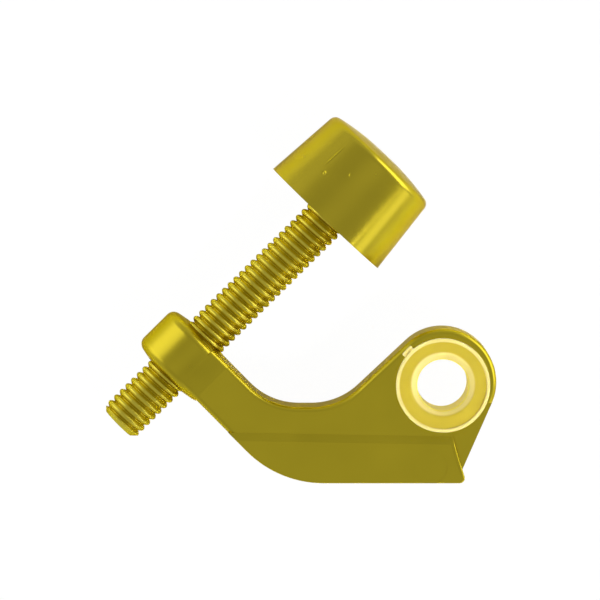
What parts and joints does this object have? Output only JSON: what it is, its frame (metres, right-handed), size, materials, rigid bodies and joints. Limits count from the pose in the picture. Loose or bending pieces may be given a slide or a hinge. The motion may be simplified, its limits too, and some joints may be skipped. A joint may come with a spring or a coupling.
{
  "type": "hinge pin door stop",
  "caption": "Brass-plated hinge pin door stop: bent cast arm with a bushed eye for the hinge pin, a pad edge and a threaded rod with a bumper head.",
  "frame": {"origin": "on the hinge pin's axis, at half the depth of the casting's eye", "axes": "+Z along the hinge pin, towards the bushing's flange; +X from the rod's end towards the eye, along the pad's edge; +Y from the pad's edge towards the throat of the bent arm"},
  "size_m": [0.0687, 0.0641, 0.0254],
  "materials": {
    "plated_casting": "die-cast zinc, brass plated and lacquered, satin",
    "plated_head": "turned smooth, brass plated and lacquered, glossy",
    "plated_rod": "rolled thread, brass plated",
    "nylon": "moulded nylon, smooth"
  },
  "bodies": {
    "casting": {"arm_casting": "plated_casting", "pin_bushing": "nylon"},
    "head": {"bumper_head": "plated_head"},
    "rod": {"threaded_rod": "plated_rod"}
  },
  "joints": [
    {"name": "bumper_travel", "type": "slide", "parent": "casting", "child": "head", "axis": [0.7108, 0.7034, 0], "range_m": [-0.029, 0.011]},
    {"name": "rod_turn", "type": "hinge", "parent": "head", "child": "rod", "pos_m": [-0.02469, 0.02495, 0], "axis": [0.7108, 0.7034, 0], "range_deg": [-7400, 2808]}
  ],
  "couplings": [
    {"joint": "rod_turn", "follows": "bumper_travel", "rad_per_m": 4452.6}
  ]
}
